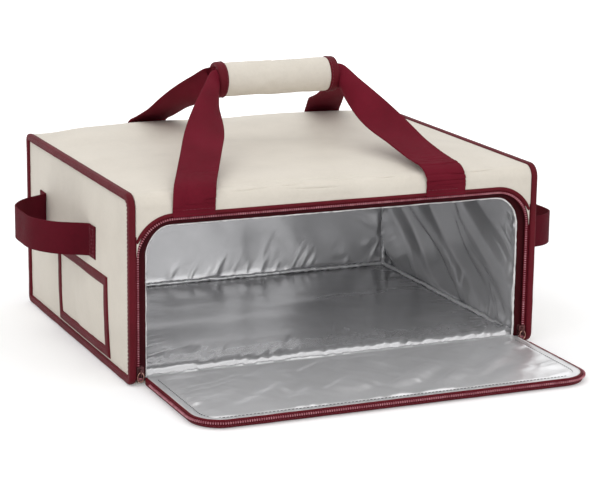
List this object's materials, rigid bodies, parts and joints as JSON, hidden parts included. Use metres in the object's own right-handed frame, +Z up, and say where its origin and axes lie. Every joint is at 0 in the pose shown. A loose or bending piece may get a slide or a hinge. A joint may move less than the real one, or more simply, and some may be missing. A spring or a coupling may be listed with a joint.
{
  "type": "insulated delivery bag",
  "caption": "Insulated delivery bag for pizza boxes: padded box with foil lining, fold-down zipped front flap, top carrying straps in a padded grip and webbing side handles.",
  "frame": {"origin": "on the floor below the middle of the box body", "axes": "+X to the bag's right, -Y out of the mouth, +Z up"},
  "size_m": [0.6241, 0.5813, 0.3273],
  "materials": {
    "cream_fabric": "coated weave",
    "burgundy_webbing": "woven",
    "zip_coil": "satin coil",
    "foil_lining": "metallised film",
    "foam": "soft foam",
    "zip_metal": "dark bronze",
    "rolled_edge": "rolled film edge"
  },
  "bodies": {
    "shell": {"top_panel": "cream_fabric", "front_header": "cream_fabric", "right_side_panel": "cream_fabric", "left_side_panel": "cream_fabric", "back_panel": "cream_fabric", "bottom_panel": "cream_fabric", "pocket_panel": "cream_fabric", "right_binding": "burgundy_webbing", "left_binding": "burgundy_webbing", "back_binding": "burgundy_webbing", "opening_facing": "burgundy_webbing", "body_zip_tape": "burgundy_webbing", "pocket_binding": "burgundy_webbing", "right_handle_front_end": "burgundy_webbing", "right_handle_rear_end": "burgundy_webbing", "left_handle_front_end": "burgundy_webbing", "left_handle_rear_end": "burgundy_webbing", "front_left_strap_end": "burgundy_webbing", "front_left_strap": "burgundy_webbing", "front_right_strap_end": "burgundy_webbing", "front_right_strap": "burgundy_webbing", "rear_left_strap_end": "burgundy_webbing", "rear_left_strap": "burgundy_webbing", "rear_right_strap_end": "burgundy_webbing", "rear_right_strap": "burgundy_webbing", "body_zip_chain": "zip_coil", "right_zip_stop": "zip_coil", "left_zip_stop": "zip_coil", "right_lining": "foil_lining", "left_lining": "foil_lining", "back_lining": "foil_lining", "floor_lining": "foil_lining", "top_lining": "foil_lining", "floor_seam": "foil_lining", "corner_seam_right": "foil_lining", "corner_seam_left": "foil_lining", "hinge_seam": "foil_lining", "right_foam": "foam", "left_foam": "foam", "back_foam": "foam", "bottom_foam": "foam", "top_foam": "foam", "facing_piping": "rolled_edge"},
    "flap": {"flap_panel": "cream_fabric", "flap_foam": "foam", "flap_lining": "foil_lining", "flap_edge_band": "burgundy_webbing", "flap_zip_chain": "zip_coil"},
    "grip": {"grip_sleeve": "cream_fabric", "grip_foam": "foam", "left_grip_band": "burgundy_webbing", "right_grip_band": "burgundy_webbing", "front_strap_run": "burgundy_webbing", "rear_strap_run": "burgundy_webbing"},
    "left_handle": {"left_handle_loop": "burgundy_webbing"},
    "right_handle": {"right_handle_loop": "burgundy_webbing"},
    "left_slider": {"left_slider": "zip_metal"},
    "right_slider": {"right_slider": "zip_metal"},
    "left_pull": {"left_pull": "zip_metal"},
    "right_pull": {"right_pull": "zip_metal"}
  },
  "joints": [
    {"name": "flap_hinge", "type": "hinge", "parent": "shell", "child": "flap", "pos_m": [0, -0.197, 0.0045], "axis": [-1, 0, 0], "range_deg": [0, 90]},
    {"name": "handle_drop", "type": "slide", "parent": "shell", "child": "grip", "axis": [0, 0, 1], "range_m": [-0.058, 0], "deforming": ["front_left_strap", "front_right_strap", "rear_left_strap", "rear_right_strap"]},
    {"name": "left_handle_swing", "type": "hinge", "parent": "shell", "child": "left_handle", "pos_m": [-0.2534, 0.028, 0.138], "axis": [0, 1, 0], "range_deg": [-38, 38], "stiffness_Nm_per_rad": 0.3, "deforming": ["left_handle_front_end", "left_handle_rear_end"]},
    {"name": "left_slider_travel", "type": "slide", "parent": "shell", "child": "left_slider", "axis": [0, 0, 1], "range_m": [0, 0.12]},
    {"name": "left_pull_swing", "type": "hinge", "parent": "left_slider", "child": "left_pull", "pos_m": [-0.2423, -0.1993, 0.0151], "axis": [-1, 0, 0], "range_deg": [0, 170]},
    {"name": "right_handle_swing", "type": "hinge", "parent": "shell", "child": "right_handle", "pos_m": [0.2534, -0.074, 0.126], "axis": [0, -1, 0], "range_deg": [-38, 38], "stiffness_Nm_per_rad": 0.3, "deforming": ["right_handle_front_end", "right_handle_rear_end"]},
    {"name": "right_slider_travel", "type": "slide", "parent": "shell", "child": "right_slider", "axis": [0, 0, 1], "range_m": [0, 0.12]},
    {"name": "right_pull_swing", "type": "hinge", "parent": "right_slider", "child": "right_pull", "pos_m": [0.2423, -0.1993, 0.0151], "axis": [-1, 0, 0], "range_deg": [0, 170]}
  ]
}
